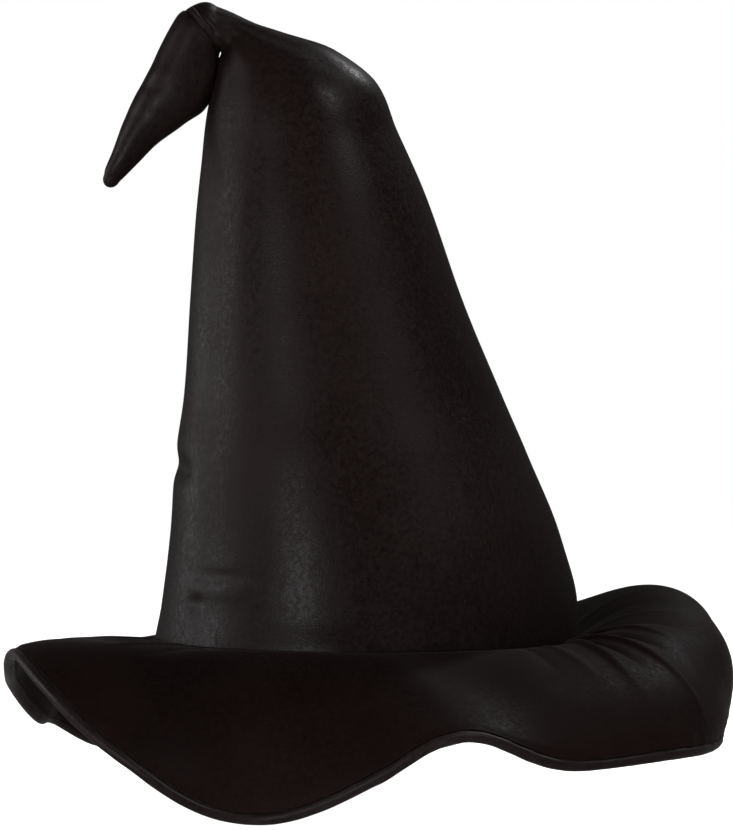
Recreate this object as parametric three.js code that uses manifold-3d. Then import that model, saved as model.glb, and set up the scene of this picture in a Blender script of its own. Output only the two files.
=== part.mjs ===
import * as THREE from 'three';
import { mergeVertices } from 'three/addons/utils/BufferGeometryUtils.js';
import Module from 'manifold-3d';

// Pointed velvet costume hat, in millimetres, +Z up.
// The origin is the centre of the head opening, on the seam between cone and brim.
// +X is the side the cone leans away from, -Y is the front.

const wasm = await Module();
wasm.setup();

// Overall sizes
const headRadius = 101; // outside of the cone at the brim seam
const crownHeight = 293; // seam to the centre of the fold
const foldInset = 22.5; // how far the fold lies inside the opening's left edge
const brimScale = 1; // width of the brim's cloth, against the widths in brimKeys

// Cone layers, from the outside in
const velvetThick = 1.2;
const foamThick = 2;
const liningThick = 0.8;
const sweatbandThick = 1.2;
const layerGap = 0.3; // between any two layers that touch
const crownFoot = 0.3; // lower edge of the cone above the seam plane
const liningTop = 0.81; // share of the cone's height that the lining reaches
const liningDome = 9;
const neckSlack = 0.9; // extra room round the fibre fill where the neck bends

// Fold: the cone ends in a round knuckle, and the hanging end sits on it
const knuckleRadius = 12.2;
const knuckleNeck = -8; // where the knuckle begins, along the cone's axis
const knuckleDepthRatio = 1.2;
const knuckleClearance = 0.5;
const knuckleAxisTilt = 86;
const neckWaist = 0.2; // how much the cloth draws in between shoulder and knuckle
const tipLength = 88; // fold's centre to the last full ring of the hanging end
const tipEndLength = 2.4; // rounded end beyond the last ring
const tipEndTurn = 27; // how far the end points away from straight down

// Brim layers, from the top down, and the rolled rim
const brimTop = 0; // at the seam
const brimVelvetThick = 1;
const brimStiffenerThick = 1.2;
const brimRoot = 5; // flat seam allowance inside the seam circle
const brimBlend = 6; // how far out the flat root turns into the slope
const wireRadius = 0.8;
const wireEndGap = 1;
const joinerWall = 0.4;
const joinerLength = 22;
const joinerClearance = 0.3;
const rollClearance = 0.3; // between the joiner and the inside of the roll
const rollWall = 0.8;
const rollOpening = 22; // half the angle of the roll's slot, in degrees
const rollRadius = wireRadius + joinerClearance + joinerWall + rollClearance + rollWall;

// Inside the head opening
const sweatbandHeight = 30;
const sweatbandFoot = 0.6;
const tapeThick = 1;
const tapeTop = 0.2;
const labelWidth = 32;
const labelHeight = 14;
const labelThick = 0.5;
const labelFoot = 9;

// How finely round shapes are divided
const crownSegments = 28;
const brimSegments = 48;
const tipSegments = 18;
const ballSegments = [28, 20];
const labelSegments = [6, 1, 2];
const crownStations = 7;
const shoulderStations = 7;
const knuckleStations = 6;
const bandStations = 3;
const brimStations = 7;
const brimStationSpread = 1.15; // above 1, the stations lie closer together at the root
const tipStations = 8;
const sectionSteps = 60; // steps along one radius of the brim
const domeTurns = [30, 60, 90];
const rollOutsidePoints = 8;
const rollInsidePoints = 7;
const wireSides = 6;
const joinerSides = 8;
const leastRadius = 0.4;
const weldDistance = 1e-3;
const stationStep = 0.002; // for the directions of the cone's surface
const turnStep = 0.01; // for the directions of the brim's surface

// Stations along the cone: up to the shoulder they are shares of its height
const shoulderStation = 0.84; // stations lie closer together above this
const neckStation = 1;
const poleStation = 1.4;
const foamShoulder = 2; // how many stations of the shoulder the foam reaches
const levelBelow = 0.3; // layers are set off level at the foot, and along the normal above this
const ringPlaneFrom = [0.89, 0.93]; // and in the rings' own planes at the neck
const ringPlaneFade = 0.06;
const tipHollowEnd = 0.93;
const tipFillEnd = 0.9;

const crownLean = headRadius - foldInset; // how far the fold lies to the left of the opening's centre
const degrees = THREE.MathUtils.degToRad;

// Reads a table of rows [position, value, value, ...] at any position, on smooth curves through the rows.
function readKeys(rows, position, period = 0) {
  const count = rows.length;
  const rowAt = (index) => {
    if (!period) return rows[Math.min(Math.max(index, 0), count - 1)];
    const turn = Math.floor(index / count);
    const row = rows[index - turn * count];
    return [row[0] + turn * period, ...row.slice(1)];
  };
  let index = 0;
  const last = period ? count - 1 : count - 2;
  while (index < last && rowAt(index + 1)[0] <= position) index += 1;
  const [before, from, to, after] = [index - 1, index, index + 1, index + 2].map(rowAt);
  const span = to[0] - from[0];
  const s = THREE.MathUtils.clamp((position - from[0]) / span, 0, 1);
  const slopeOf = (low, high, column) => {
    const reach = high[0] - low[0];
    return reach > 0 ? ((high[column] - low[column]) / reach) * span : 0;
  };
  return from.slice(1).map((value, k) => {
    const slopeFrom = slopeOf(before, to, k + 1);
    const slopeTo = slopeOf(from, after, k + 1);
    const rise = 2 * s ** 3 - 3 * s ** 2;
    return (
      (1 + rise) * value - rise * to[k + 1]
      + (s ** 3 - 2 * s ** 2 + s) * slopeFrom + (s ** 3 - s ** 2) * slopeTo
    );
  });
}

// A closed body from a lathe: each profile entry, at each angle, is put where place() says.
// From row turnBack on, the profile runs back along itself, and its four-sided faces are split the other way,
// so that both sides of a wall, and the next layer's side, have the same creases.
function turned(profile, segments, place, turnBack = profile.length) {
  const blank = profile.map((_, row) => new THREE.Vector2(1, row));
  const lathe = new THREE.LatheGeometry(blank, segments);
  const position = lathe.getAttribute('position');
  for (let n = 0; n < position.count; n += 1) {
    const step = Math.floor(n / profile.length) % segments;
    const point = place(profile[n % profile.length], (step / segments) * 2 * Math.PI);
    position.setXYZ(n, point.x, point.y, point.z);
  }
  const corners = [];
  for (let step = 0; step < segments; step += 1) {
    for (let row = 0; row < profile.length - 1; row += 1) {
      const a = row + step * profile.length;
      const [b, c, d] = [a + profile.length, a + profile.length + 1, a + 1];
      corners.push(...(row < turnBack ? [a, b, d, c, d, b] : [a, b, c, c, d, a]));
    }
  }
  lathe.setIndex(corners);
  return welded(lathe);
}

// One shared vertex for each corner, and no triangle without an area.
function welded(geometry) {
  geometry.deleteAttribute('normal');
  geometry.deleteAttribute('uv');
  const merged = mergeVertices(geometry, weldDistance);
  const corners = merged.index.array;
  const kept = [];
  for (let n = 0; n < corners.length; n += 3) {
    const [a, b, c] = [corners[n], corners[n + 1], corners[n + 2]];
    if (a !== b && b !== c && c !== a) kept.push(a, b, c);
  }
  merged.setIndex(kept);
  return merged;
}

function toSolid(geometry) {
  const vertProperties = new Float32Array(geometry.getAttribute('position').array);
  const triVerts = new Uint32Array(geometry.index.array);
  return new wasm.Manifold(new wasm.Mesh({ numProp: 3, vertProperties, triVerts }));
}

function toGeometry(solid) {
  const mesh = solid.getMesh();
  const geometry = new THREE.BufferGeometry();
  geometry.setAttribute('position', new THREE.BufferAttribute(new Float32Array(mesh.vertProperties), 3));
  geometry.setIndex(Array.from(mesh.triVerts));
  return geometry;
}

// Cone: rows of [station, share of the height, share of the lean, tilt, share of the head radius, depth ratio].
// Below the shoulder the station is the share of the height.
const crownKeys = [
  [0, 0, 0, 0, 1, 1],
  [0.177, 0.177, 0.006, 0, 0.926, 1],
  [0.304, 0.304, 0.085, 0, 0.84, 1],
  [0.406, 0.406, 0.143, 0, 0.754, 1],
  [0.563, 0.563, 0.248, 0, 0.644, 1],
  [0.717, 0.717, 0.344, 5, 0.547, 1],
  [0.811, 0.811, 0.411, 9, 0.473, 1],
  [0.889, 0.889, 0.465, 12, 0.41, 1],
  [0.93, 0.944, 0.569, 14, 0.292, 1.06],
  [0.97, 0.974, 0.707, 23, 0.167, 1.25],
];

const foldCentre = new THREE.Vector3(-crownLean, 0, crownHeight);
const neckTurn = Math.asin(knuckleNeck / knuckleRadius);

// A ring about a centre in the XZ plane: tilt turns its right-hand side upwards.
function ringPoint(centre, tilt, halfWidth, halfDepth, angle) {
  const across = halfWidth * Math.cos(angle);
  return new THREE.Vector3(
    centre.x + across * Math.cos(tilt),
    halfDepth * Math.sin(angle),
    centre.z + across * Math.sin(tilt),
  );
}

// The centre, tilt and half sizes of the ring at a station: the cone's wall, then the neck, then the knuckle.
function crownRing(station) {
  const wall = Math.min(station, crownKeys[crownKeys.length - 1][0]);
  const [height, lean, tilt, width, depth] = readKeys(crownKeys, wall);
  const ring = {
    centre: new THREE.Vector3(-lean * crownLean, 0, height * crownHeight),
    tilt: degrees(tilt),
    halfWidth: headRadius * width,
    halfDepth: headRadius * width * depth,
  };
  if (station <= wall) return ring;
  const turn = THREE.MathUtils.mapLinear(
    Math.max(station, neckStation), neckStation, poleStation, neckTurn, Math.PI / 2,
  );
  const tiltAtKnuckle = degrees(knuckleAxisTilt);
  const along = knuckleRadius * Math.sin(turn);
  const across = knuckleRadius * Math.cos(turn);
  const knuckle = {
    centre: new THREE.Vector3(-Math.sin(tiltAtKnuckle), 0, Math.cos(tiltAtKnuckle))
      .multiplyScalar(along).add(foldCentre),
    tilt: tiltAtKnuckle,
    halfWidth: across,
    halfDepth: across * knuckleDepthRatio,
  };
  const share = THREE.MathUtils.clamp((station - wall) / (neckStation - wall), 0, 1);
  const waist = 1 - neckWaist * Math.sin(share * Math.PI);
  return {
    centre: ring.centre.lerp(knuckle.centre, share),
    tilt: THREE.MathUtils.lerp(ring.tilt, knuckle.tilt, share),
    halfWidth: THREE.MathUtils.lerp(ring.halfWidth, knuckle.halfWidth, share) * waist,
    halfDepth: THREE.MathUtils.lerp(ring.halfDepth, knuckle.halfDepth, share) * waist,
  };
}

function onCrown(station, angle) {
  const { centre, tilt, halfWidth, halfDepth } = crownRing(station);
  return ringPoint(centre, tilt, halfWidth, halfDepth, angle);
}

// A point off the cone's outer surface: offset is outwards.
function crownPoint({ station, offset }, angle) {
  const step = stationStep;
  if (station > poleStation - step) {
    const { centre, tilt } = crownRing(poleStation);
    return centre.add(new THREE.Vector3(-Math.sin(tilt), 0, Math.cos(tilt)).multiplyScalar(offset));
  }
  const point = onCrown(station, angle);
  const up = onCrown(station + step, angle).sub(onCrown(Math.max(station - step, 0), angle));
  const round = onCrown(station, angle + step).sub(onCrown(station, angle - step));
  const normal = round.cross(up).normalize();
  const { tilt } = crownRing(station);
  const level = ringPoint(new THREE.Vector3(), tilt, 1, 1, angle);
  const atFoot = 1 - THREE.MathUtils.smoothstep(station, 0, levelBelow);
  const atNeck = THREE.MathUtils.smoothstep(station, ...ringPlaneFrom)
    * (1 - THREE.MathUtils.smoothstep(station, neckStation, neckStation + ringPlaneFade));
  normal.lerp(level, atFoot + atNeck).normalize();
  return point.addScaledVector(normal, offset);
}

const spread = (from, to, count) => (
  Array.from({ length: count }, (_, n) => from + ((to - from) * n) / (count - 1))
);

// Stations up the cone's wall, which all its layers share, so that their creases agree
const footStation = crownFoot / crownHeight;
const bandTop = sweatbandHeight / crownHeight;
const bandRun = spread(footStation, bandTop, bandStations);
const liningRun = [...bandRun, ...spread(bandTop, liningTop, crownStations).slice(1)];
const wallRun = [...liningRun, shoulderStation];
const shoulderRun = spread(shoulderStation, neckStation, shoulderStations).slice(1);
const knuckleRun = spread(neckStation, poleStation, knuckleStations).slice(1);

// A wall of even thickness over a run of stations.
function crownLayer(run, outerOffset, thickness) {
  const face = (offset) => run.map((station) => ({ station, offset }));
  const outside = face(outerOffset);
  const inside = face(outerOffset - thickness).reverse();
  return turned([...outside, ...inside, outside[0]], crownSegments, crownPoint, outside.length);
}

const crownShell = () => crownLayer([...wallRun, ...shoulderRun, ...knuckleRun], 0, velvetThick);

const foamOffset = -velvetThick - layerGap;
const liningOffset = foamOffset - foamThick - layerGap;
const sweatbandOffset = liningOffset - liningThick - layerGap;
const stuffingOffset = foamOffset - foamThick - layerGap;

const crownInterfacing = () => (
  crownLayer([...wallRun, ...shoulderRun.slice(0, foamShoulder)], foamOffset, foamThick)
);

// The lining is a bag: its wall ends in a low dome.
function crownLining() {
  const face = (offset) => liningRun.map((station) => ({ station, offset }));
  const dome = (offset) => domeTurns.map((turn) => ({ station: liningTop, offset, turn: degrees(turn) }));
  const inner = liningOffset - liningThick;
  const outside = [...face(liningOffset), ...dome(liningOffset)];
  const inside = [...face(inner), ...dome(inner)].reverse();
  const place = ({ station, offset, turn = 0 }, angle) => {
    const rim = crownPoint({ station, offset }, angle);
    const { centre } = crownRing(station);
    const share = turn < Math.PI / 2 ? Math.cos(turn) : 0;
    const point = centre.lerp(rim, share);
    point.z += (liningDome + offset - liningOffset) * Math.sin(turn);
    return point;
  };
  return turned([...outside, ...inside, outside[0]], crownSegments, place, outside.length);
}

// The fibre fill lies inside the foam at its foot, and against the velvet above the foam's edge.
function crownStuffing() {
  const inFoam = shoulderRun.slice(0, foamShoulder).map((station) => ({ station, offset: stuffingOffset }));
  const inNeck = shoulderRun.slice(foamShoulder).map((station) => ({ station, offset: foamOffset - neckSlack }));
  const inKnuckle = knuckleRun.map((station) => ({ station, offset: foamOffset }));
  const pole = { station: shoulderRun[0], pole: true };
  const place = (entry, angle) => (
    entry.pole ? crownRing(entry.station).centre : crownPoint(entry, angle)
  );
  return turned([pole, ...inFoam, ...inNeck, ...inKnuckle], crownSegments, place);
}

const sweatband = () => (
  crownLayer([sweatbandFoot / crownHeight, ...bandRun.slice(1)], sweatbandOffset, sweatbandThick)
);

function blankLabel() {
  const plate = new THREE.BoxGeometry(labelWidth, labelThick, labelHeight, ...labelSegments);
  const position = plate.getAttribute('position');
  const facetSag = headRadius * (1 - Math.cos(Math.PI / crownSegments));
  const outer = sweatbandOffset - sweatbandThick - layerGap - facetSag;
  for (let n = 0; n < position.count; n += 1) {
    const angle = Math.PI / 2 - position.getX(n) / headRadius;
    const station = (labelFoot + labelHeight / 2 + position.getZ(n)) / crownHeight;
    const offset = outer - labelThick / 2 + position.getY(n);
    const point = crownPoint({ station, offset }, angle);
    position.setXYZ(n, point.x, point.y, point.z);
  }
  return welded(plate);
}

// Hanging end: rows of [station, x, z, tilt, half width, depth ratio]. Places are shares of its length, from
// the fold's centre, and half widths are shares of the knuckle's radius.
const tipKeys = [
  [0, -0.0409, -0.0375, -47.5, 1.033, 1.2],
  [0.14, -0.0966, -0.1761, -32, 1.082, 1.12],
  [0.32, -0.1568, -0.3352, -36, 1.246, 1],
  [0.52, -0.2443, -0.4511, -26, 1.09, 0.98],
  [0.68, -0.358, -0.5864, -26, 0.779, 1],
  [0.82, -0.4318, -0.7045, -18, 0.557, 1],
  [0.93, -0.4932, -0.792, -15, 0.377, 1],
  [1, -0.5273, -0.8477, -20, 0.18, 1],
];

function tipPoint({ station, offset, close = 1, reach = 0 }, angle) {
  const [x, z, tilt, width, depth] = readKeys(tipKeys, station);
  const centre = new THREE.Vector3(
    foldCentre.x + x * tipLength - reach * Math.sin(degrees(tipEndTurn)),
    0,
    foldCentre.z + z * tipLength - reach * Math.cos(degrees(tipEndTurn)),
  );
  const halfWidth = Math.max(width * knuckleRadius + offset, leastRadius);
  const halfDepth = Math.max(width * knuckleRadius * depth + offset, leastRadius);
  return ringPoint(centre, degrees(tilt), halfWidth * close, halfDepth * close, angle);
}

function tipRun(offset, endStation) {
  const wall = spread(0, endStation, tipStations).map((station) => ({ station, offset }));
  return [...wall, { station: endStation, offset, close: 0, reach: tipEndLength + offset }];
}

// The space the knuckle turns in, round about the hinge's axis.
function knuckleSpace() {
  const radius = knuckleRadius + knuckleClearance;
  const ball = new THREE.SphereGeometry(1, ...ballSegments);
  ball.scale(radius, radius * knuckleDepthRatio, radius);
  ball.translate(foldCentre.x, foldCentre.y, foldCentre.z);
  return toSolid(welded(ball));
}

function tipShell() {
  const outside = tipRun(0, 1).reverse();
  const inside = tipRun(-velvetThick, tipHollowEnd);
  const shell = turned([...outside, ...inside, outside[0]], tipSegments, tipPoint);
  return toGeometry(toSolid(shell).subtract(knuckleSpace()));
}

function tipStuffing() {
  const offset = -velvetThick - layerGap;
  const mouth = { station: 0, offset, close: 0 };
  const fill = turned([...tipRun(offset, tipFillEnd).reverse(), mouth], tipSegments, tipPoint);
  return toGeometry(toSolid(fill).subtract(knuckleSpace()));
}

// Brim: rows of [angle, slope at the root, slope at the rim, width of the cloth, how late it bends]
const brimKeys = [
  [0, 29.4, -120, 103.1, 1.85],
  [15, 36.6, -106.5, 102.1, 1.95],
  [30, 33, -74.9, 105.6, 2.16],
  [46, 24.5, -50.6, 106.8, 1.39],
  [66, 14.3, -38.1, 106.9, 1.25],
  [90, -7.9, -42.1, 103.9, 1],
  [115, -13.5, -57.3, 100, 1.04],
  [137, -14.4, -60, 98.3, 1.09],
  [150, -6.1, -56.8, 91.4, 1.29],
  [165, -7.5, -67.2, 79.3, 1.68],
  [180, 3.2, -75, 77.9, 3.09],
  [194, 4.6, -50.2, 76.9, 3.57],
  [208, 7.1, -13.9, 85, 2.87],
  [222, 5.1, -24.8, 99.4, 1.88],
  [237, -13.3, -31.2, 107.3, 0.8],
  [254, -14.4, -72.4, 109.3, 1.17],
  [271, -3.4, -41.5, 103.2, 0.53],
  [286, -14.3, -23.3, 94.7, 1.07],
  [303, -6.5, -70.5, 100.5, 1.92],
  [320, 4.4, -71.5, 106.7, 1.57],
  [336, 16.3, -91.3, 106.4, 1.47],
  [348, 23.2, -109.4, 104.3, 1.59],
];

// The brim's top surface along one radius: points of [distance from the axis, height, slope] at even lengths.
function brimSection(angle) {
  const turn = THREE.MathUtils.euclideanModulo(THREE.MathUtils.radToDeg(angle), 360);
  const [rootSlope, rimSlope, cloth, lateness] = readKeys(brimKeys, turn, 360);
  const width = cloth * brimScale;
  const points = [[headRadius, 0, 0]];
  for (let n = 1; n <= sectionSteps; n += 1) {
    const share = (n - 0.5) / sectionSteps;
    const start = THREE.MathUtils.smoothstep(share * width, 0, brimBlend);
    const slope = degrees(rootSlope + (rimSlope - rootSlope) * share ** lateness) * start;
    const [radius, height] = points[n - 1];
    const step = width / sectionSteps;
    points.push([radius + step * Math.cos(slope), height + step * Math.sin(slope), slope]);
  }
  return points;
}

function onBrim(angle, share) {
  if (share < 0) return new THREE.Vector3(
    (headRadius + share) * Math.cos(angle), (headRadius + share) * Math.sin(angle), 0,
  );
  const [radius, height] = brimSection(angle)[Math.round(share * sectionSteps)];
  return new THREE.Vector3(radius * Math.cos(angle), radius * Math.sin(angle), height);
}

// The surface's upward normal and outward tangent at a point of the brim.
function brimFrame(angle, share) {
  const up = new THREE.Vector3(0, 0, 1);
  const outward = new THREE.Vector3(Math.cos(angle), Math.sin(angle), 0);
  if (share <= 0) return { point: onBrim(angle, share), normal: up, tangent: outward };
  const step = 1 / sectionSteps;
  const out = onBrim(angle, Math.min(share + step, 1)).sub(onBrim(angle, share - step)).normalize();
  const round = onBrim(angle + turnStep, share).sub(onBrim(angle - turnStep, share));
  const normal = out.clone().cross(round).normalize();
  return { point: onBrim(angle, share), normal, tangent: out };
}

const brimShares = spread(0, 1, brimStations).map((share) => (
  Math.round((share ** brimStationSpread) * sectionSteps) / sectionSteps
));

function brimLayer(top, thickness) {
  const place = ({ share, offset }, angle) => {
    const { point, normal } = brimFrame(angle, share);
    return point.addScaledVector(normal, offset);
  };
  const face = (offset) => [-brimRoot, ...brimShares].map((share) => ({ share, offset }));
  const upper = face(top).reverse();
  const lower = face(top - thickness);
  return turned([...upper, ...lower, upper[0]], brimSegments, place, upper.length);
}

const stiffenerTop = brimTop - brimVelvetThick - layerGap;
const undersideTop = stiffenerTop - brimStiffenerThick - layerGap;
const brimBottom = undersideTop - brimVelvetThick;
const rollDrop = (brimBottom - layerGap) / 2; // middle of the brim's layers

function rimCentre(angle) {
  const { point, normal, tangent } = brimFrame(angle, 1);
  return { centre: point.addScaledVector(normal, rollDrop).addScaledVector(tangent, rollRadius + layerGap),
    normal, tangent };
}

// A point of the rim's section: out runs away from the layers' edge, up along their normal.
function rimPoint({ out, up }, angle) {
  const { centre, normal, tangent } = rimCentre(angle);
  return centre.addScaledVector(tangent, out).addScaledVector(normal, up);
}

const rimArc = (radius, from, to, count) => spread(from, to, count).map(
  (turn) => ({ out: radius * Math.cos(degrees(turn)), up: radius * Math.sin(degrees(turn)) }),
);

// The rolled casing: a C-shaped strip whose slot faces the edge of the brim's layers.
function rimRoll() {
  const lip = 180 - rollOpening;
  const outside = rimArc(rollRadius, -lip, lip, rollOutsidePoints);
  const inside = rimArc(rollRadius - rollWall, lip, -lip, rollInsidePoints);
  return turned([...outside, ...inside, outside[0]], brimSegments, rimPoint);
}

// A full ring of round section inside the rim.
const rimRing = (radius, sides) => (
  toSolid(turned(rimArc(radius, 0, 360, sides + 1), brimSegments, rimPoint))
);

// A block across the rim at the back, where its centre line runs along X.
function backBlock(length) {
  const side = 4 * rollRadius;
  const block = new THREE.BoxGeometry(length, side, side);
  const { centre } = rimCentre(Math.PI / 2);
  block.translate(centre.x, centre.y, centre.z);
  return toSolid(welded(block));
}

const brimWire = () => toGeometry(rimRing(wireRadius, wireSides).subtract(backBlock(wireEndGap)));

function wireJoiner() {
  const hole = wireRadius + joinerClearance;
  const tube = rimRing(hole + joinerWall, joinerSides).subtract(rimRing(hole, joinerSides));
  return toGeometry(tube.intersect(backBlock(joinerLength)));
}

function openingTape() {
  const outer = headRadius - brimRoot - layerGap;
  const rows = [[outer, brimBottom], [outer, tapeTop], [outer - tapeThick, tapeTop], [outer - tapeThick, brimBottom]];
  const place = ([radius, height], angle) => (
    new THREE.Vector3(radius * Math.cos(angle), radius * Math.sin(angle), height)
  );
  return turned([...rows, rows[0]], brimSegments, place);
}

const finishes = {
  blackVelvet: { color: 0x14100f, roughness: 0.62, metalness: 0 },
  deepVelvet: { color: 0x0f0c0c, roughness: 0.75, metalness: 0 },
  greyFoam: { color: 0x3c3c40, roughness: 0.9, metalness: 0 },
  satin: { color: 0x1b1a1e, roughness: 0.42, metalness: 0 },
  fibreFill: { color: 0xe6e4de, roughness: 0.95, metalness: 0 },
  steel: { color: 0x9a9da1, roughness: 0.4, metalness: 1 },
  tape: { color: 0x1c1a1a, roughness: 0.8, metalness: 0 },
};

function part(name, geometry, finish) {
  const mesh = new THREE.Mesh(geometry, new THREE.MeshStandardMaterial(finishes[finish]));
  mesh.name = name;
  return mesh;
}

const group = new THREE.Group();
group.add(part('crown_shell', crownShell(), 'blackVelvet'));
group.add(part('crown_interfacing', crownInterfacing(), 'greyFoam'));
group.add(part('crown_lining', crownLining(), 'satin'));
group.add(part('crown_stuffing', crownStuffing(), 'fibreFill'));
group.add(part('tip_shell', tipShell(), 'blackVelvet'));
group.add(part('tip_stuffing', tipStuffing(), 'fibreFill'));
group.add(part('brim_top', brimLayer(brimTop, brimVelvetThick), 'deepVelvet'));
group.add(part('brim_interfacing', brimLayer(stiffenerTop, brimStiffenerThick), 'greyFoam'));
group.add(part('brim_underside', brimLayer(undersideTop, brimVelvetThick), 'deepVelvet'));
group.add(part('brim_edge_binding', rimRoll(), 'deepVelvet'));
group.add(part('brim_wire', brimWire(), 'steel'));
group.add(part('brim_wire_joiner', wireJoiner(), 'steel'));
group.add(part('opening_tape', openingTape(), 'tape'));
group.add(part('sweatband', sweatband(), 'tape'));
group.add(part('blank_label', blankLabel(), 'satin'));

export default group;
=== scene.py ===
# %% [markdown]
# # A pointed velvet hat with a wired brim
# The hat is black stretch velvet: a leaning cone over thin foam, a stuffed end that hangs from a fold, and a
# wide brim whose waves are held by a wire in its rolled rim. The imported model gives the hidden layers, the
# joint and the sizes. This file makes the cloth that shows: each cloth starts as a flat grid, as it is cut,
# and is then laid where it is worn.

# %% Load the frame
from math import cos, degrees, exp, hypot, pi, radians, sin

import bmesh
import bpy
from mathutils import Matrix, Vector, noise


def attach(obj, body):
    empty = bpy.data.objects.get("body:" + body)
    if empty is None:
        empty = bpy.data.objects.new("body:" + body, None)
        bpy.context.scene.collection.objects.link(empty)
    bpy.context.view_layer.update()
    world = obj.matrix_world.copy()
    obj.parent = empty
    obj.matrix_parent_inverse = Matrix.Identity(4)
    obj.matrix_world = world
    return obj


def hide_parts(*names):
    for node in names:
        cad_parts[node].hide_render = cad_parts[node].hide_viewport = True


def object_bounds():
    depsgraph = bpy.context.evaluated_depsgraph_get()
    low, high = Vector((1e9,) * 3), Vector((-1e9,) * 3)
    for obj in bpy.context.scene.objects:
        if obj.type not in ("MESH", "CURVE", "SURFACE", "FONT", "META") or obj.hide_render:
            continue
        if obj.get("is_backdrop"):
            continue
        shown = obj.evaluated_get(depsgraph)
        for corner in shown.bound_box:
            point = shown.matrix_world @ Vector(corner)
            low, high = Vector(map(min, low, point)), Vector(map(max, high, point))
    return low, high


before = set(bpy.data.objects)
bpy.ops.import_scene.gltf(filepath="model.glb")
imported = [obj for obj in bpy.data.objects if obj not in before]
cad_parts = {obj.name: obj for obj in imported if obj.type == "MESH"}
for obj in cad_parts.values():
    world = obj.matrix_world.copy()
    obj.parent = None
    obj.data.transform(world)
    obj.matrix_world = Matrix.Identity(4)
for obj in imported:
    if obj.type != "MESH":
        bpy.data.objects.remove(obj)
cad_bounds = [list(corner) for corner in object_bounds()]
MM = 0.001


def add_object(name, data):
    """Puts a camera, a light or a mesh in the scene."""
    made = bpy.data.objects.new(name, data)
    bpy.context.collection.objects.link(made)
    return made


# %% [markdown]
# ## Camera
# The hat is seen from the front and two degrees above level. A long lens from three and a half metres keeps
# the near rim from swelling. The camera looks at the middle of the hat.

# %% Camera
CAMERA_RISE = radians(2.0)
CAMERA_DISTANCE = 3.5
VIEW_HEIGHT = 0.3984  # height of the view where the hat stands
SENSOR = 36.0
target = Vector((0.0, 0.0, 0.1085))  # about half way up the hat

camera_data = bpy.data.cameras.new("camera")
camera_data.sensor_width = SENSOR
camera_data.lens = SENSOR * CAMERA_DISTANCE / VIEW_HEIGHT
camera = add_object("camera", camera_data)
camera.location = target + Vector((0, -cos(CAMERA_RISE), sin(CAMERA_RISE))) * CAMERA_DISTANCE
camera.rotation_euler = (target - camera.location).to_track_quat("-Z", "Y").to_euler()
bpy.context.scene.camera = camera
print("lens", round(camera_data.lens, 1), "mm")

# %% [markdown]
# ## Light
# Velvet shows its shape by its sheen, so the light is a few soft panels: a key at the left that lays a broad
# band down the cone, a low one behind it for the left edge, a weak fill at the front, one panel above the
# shoulder and a strip behind it. The room is dim, so that the velvet stays deep, and what lies behind the hat
# is plain white.

# %% Lights
def area_light(name, place, size, power, aim=(0, 0, 0.1)):
    """A soft panel that looks at a point of the hat."""
    data = bpy.data.lights.new(name, "AREA")
    data.shape = "RECTANGLE"
    data.size, data.size_y = size
    data.energy = power
    lamp = add_object(name, data)
    lamp.location = place
    lamp.rotation_euler = (Vector(aim) - Vector(place)).to_track_quat("-Z", "Y").to_euler()


area_light("key_panel", (-1.5, 0.08, 0.45), (0.45, 0.8), 4.6)
area_light("left_edge", (-1.2, 0.75, 0.15), (0.3, 0.4), 1.0)
area_light("front_fill", (-0.95, -1.25, 0.28), (0.3, 0.4), 4.9)
area_light("shoulder_panel", (0.8, -0.6, 1.3), (0.3, 0.3), 6.0)
area_light("edge_strip", (0.7, 1.0, 1.2), (0.2, 0.3), 4.0)

ROOM_LIGHT = 0.05
WHITE = (1.0, 1.0, 1.0, 1.0)

world = bpy.data.worlds.new("studio")
bpy.context.scene.world = world
world.use_nodes = True
world_nodes, world_links = world.node_tree.nodes, world.node_tree.links
room = world_nodes["Background"]
room.inputs["Color"].default_value = WHITE
room.inputs["Strength"].default_value = ROOM_LIGHT
paper = world_nodes.new("ShaderNodeBackground")
paper.inputs["Color"].default_value = WHITE
seen_or_lit = world_nodes.new("ShaderNodeMixShader")
world_links.new(world_nodes.new("ShaderNodeLightPath").outputs["Is Camera Ray"], seen_or_lit.inputs["Fac"])
world_links.new(room.outputs["Background"], seen_or_lit.inputs[1])
world_links.new(paper.outputs["Background"], seen_or_lit.inputs[2])
world_links.new(seen_or_lit.outputs["Shader"], world_nodes["World Output"].inputs["Surface"])
bpy.context.scene.view_settings.view_transform = "Standard"

# %% [markdown]
# ## Floor
# The floor is a pale disc just under the rim. Light that was bright enough to whiten it would flood the
# velvet, so the floor has a light of its own that passes the hat by. From below the paper is clear, so that
# the inside of the hat can be looked into.

# %% Floor
PAPER_GRAIN = 3.0
PAPER_SHADE = 0.985  # how dark the mottle is beside the paper's colour


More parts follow.
